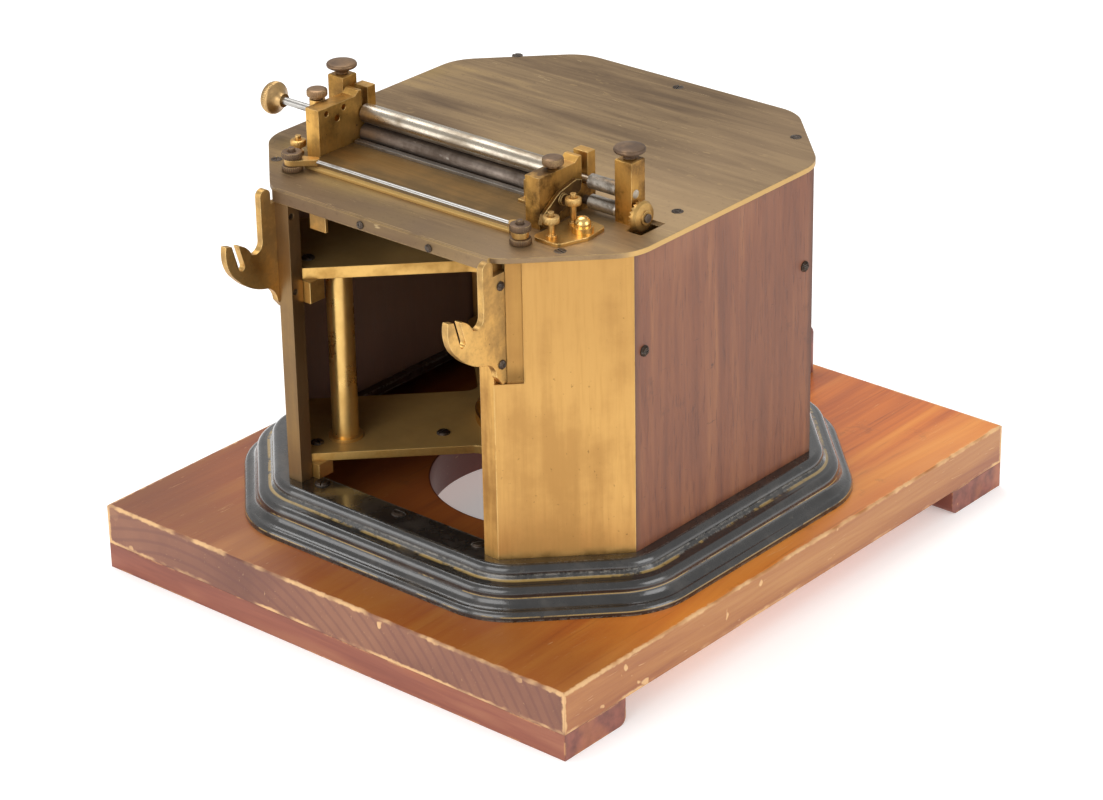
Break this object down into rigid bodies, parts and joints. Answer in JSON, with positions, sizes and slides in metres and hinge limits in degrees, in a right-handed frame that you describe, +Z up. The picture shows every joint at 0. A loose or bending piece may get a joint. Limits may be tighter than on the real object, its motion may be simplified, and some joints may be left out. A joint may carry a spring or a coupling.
{
  "type": "tabletop printing press",
  "caption": "Eight-sided brass and mahogany case on an iron base and wooden board, open at the front, with paper rollers, knobs and a crown gear on top.",
  "frame": {"origin": "centre of the footprint of the wooden board and its cleats, on the table that the cleats stand on", "axes": "+Z up; the case's open front and the paper rod face -Y; +X is towards the side with the crown gear"},
  "size_m": [0.35, 0.412, 0.2908],
  "materials": {
    "board_wood": "old orange varnish, satin, scratched",
    "cleat_wood": "thin red-brown varnish, worn at the edges",
    "mahogany": "dull oiled, vertical grain",
    "black_japan": "black japan, glossy, worn at the edges, thin gold lines",
    "panel_brass": "bright lacquered, brushed upright, pitted",
    "deck_brass": "olive-brown tarnish, streaked along X",
    "plate_brass": "brown tarnish over brass",
    "pillar_brass": "polished",
    "fitting_brass": "turned, partly tarnished",
    "knob_brass": "dark brown tarnish, knurled edges",
    "roller_steel": "bright, fine lengthwise wear",
    "dark_steel": "grey-brown patina",
    "screw_steel": "blued and browned",
    "bright_steel": "polished"
  },
  "bodies": {
    "press_case": {"baseboard": "board_wood", "front_cleat": "cleat_wood", "rear_cleat": "cleat_wood", "rear_peg": "cleat_wood", "cleat_screws": "screw_steel", "base_moulding": "black_japan", "base_screws": "screw_steel", "corner_posts": "panel_brass", "left_corner_panel": "panel_brass", "right_corner_panel": "panel_brass", "rear_corner_panels": "panel_brass", "left_side_panel": "mahogany", "right_side_panel": "mahogany", "back_panel": "mahogany", "case_screws": "screw_steel", "lower_cross_plate": "plate_brass", "upper_cross_plate": "plate_brass", "pillars": "pillar_brass", "bearing_ring": "fitting_brass", "corner_blocks": "plate_brass", "plate_screws": "screw_steel", "front_deck": "deck_brass", "rear_cover": "deck_brass", "front_fascia": "deck_brass", "deck_screws": "screw_steel", "left_hook_bracket": "fitting_brass", "right_hook_bracket": "fitting_brass", "paper_table": "deck_brass", "guide_strip": "bright_steel", "guide_tab": "fitting_brass", "left_side_frame": "fitting_brass", "right_side_frame": "fitting_brass", "left_square_post": "fitting_brass", "right_square_post": "fitting_brass", "clamp_post": "fitting_brass", "rod_studs": "knob_brass", "rod_arms": "fitting_brass", "tension_rod": "bright_steel", "right_base_plate": "fitting_brass", "domed_nut": "bright_steel", "binding_studs": "fitting_brass", "deck_bracket": "fitting_brass", "deck_bushes": "bright_steel"},
    "lower_roller_shaft": {"lower_roller": "dark_steel", "lower_sleeve": "dark_steel", "crown_gear": "fitting_brass"},
    "upper_roller_shaft": {"upper_roller": "roller_steel", "upper_sleeve": "dark_steel"},
    "side_clamp_knob": {"side_knob": "knob_brass", "side_spindle": "bright_steel"},
    "left_flat_knob_body": {"left_flat_knob": "knob_brass"},
    "right_flat_knob_body": {"right_flat_knob": "knob_brass"},
    "left_thumb_screw_body": {"left_thumb_screw": "knob_brass"},
    "right_thumb_screw_body": {"right_thumb_screw": "knob_brass"},
    "left_rod_nut_body": {"left_rod_nut": "knob_brass"},
    "right_rod_nut_body": {"right_rod_nut": "knob_brass"},
    "front_binding_nut_body": {"front_binding_nut": "fitting_brass"},
    "rear_binding_nut_body": {"rear_binding_nut": "fitting_brass"},
    "left_binding_nut_body": {"left_binding_nut": "fitting_brass"},
    "lever_body": {"release_lever": "dark_steel"}
  },
  "joints": [
    {"name": "lower_roller_turn", "type": "hinge", "parent": "press_case", "child": "lower_roller_shaft", "pos_m": [-0.01, -0.066, 0.2525], "axis": [1, 0, 0], "continuous": true},
    {"name": "upper_roller_turn", "type": "hinge", "parent": "press_case", "child": "upper_roller_shaft", "pos_m": [-0.01, -0.066, 0.2645], "axis": [1, 0, 0], "continuous": true},
    {"name": "side_knob_turn", "type": "hinge", "parent": "press_case", "child": "side_clamp_knob", "pos_m": [-0.12, -0.0885, 0.2685], "axis": [1, 0, 0], "continuous": true},
    {"name": "left_flat_knob_turn", "type": "hinge", "parent": "press_case", "child": "left_flat_knob_body", "pos_m": [-0.106, -0.064, 0.286], "axis": [0, 0, 1], "continuous": true},
    {"name": "right_flat_knob_turn", "type": "hinge", "parent": "press_case", "child": "right_flat_knob_body", "pos_m": [0.106, -0.064, 0.286], "axis": [0, 0, 1], "continuous": true},
    {"name": "left_thumb_screw_turn", "type": "hinge", "parent": "press_case", "child": "left_thumb_screw_body", "pos_m": [-0.1026, -0.0885, 0.279], "axis": [0, 0, 1], "continuous": true},
    {"name": "right_thumb_screw_turn", "type": "hinge", "parent": "press_case", "child": "right_thumb_screw_body", "pos_m": [0.071, -0.0865, 0.279], "axis": [0, 0, 1], "continuous": true},
    {"name": "left_rod_nut_turn", "type": "hinge", "parent": "press_case", "child": "left_rod_nut_body", "pos_m": [-0.0895, -0.124, 0.256], "axis": [0, 0, 1], "continuous": true},
    {"name": "right_rod_nut_turn", "type": "hinge", "parent": "press_case", "child": "right_rod_nut_body", "pos_m": [0.0795, -0.124, 0.256], "axis": [0, 0, 1], "continuous": true},
    {"name": "front_binding_nut_turn", "type": "hinge", "parent": "press_case", "child": "front_binding_nut_body", "pos_m": [0.09, -0.111, 0.259], "axis": [0, 0, 1], "continuous": true},
    {"name": "rear_binding_nut_turn", "type": "hinge", "parent": "press_case", "child": "rear_binding_nut_body", "pos_m": [0.0875, -0.0895, 0.262], "axis": [0, 0, 1], "continuous": true},
    {"name": "left_binding_nut_turn", "type": "hinge", "parent": "press_case", "child": "left_binding_nut_body", "pos_m": [-0.105, -0.103, 0.253], "axis": [0, 0, 1], "continuous": true},
    {"name": "release_lever_tilt", "type": "hinge", "parent": "press_case", "child": "lever_body", "pos_m": [0.077, -0.088, 0.2605], "axis": [1, 0, 0], "range_deg": [-18, 4]}
  ],
  "couplings": [
    {"joint": "upper_roller_turn", "follows": "lower_roller_turn", "ratio": -1.0714}
  ]
}
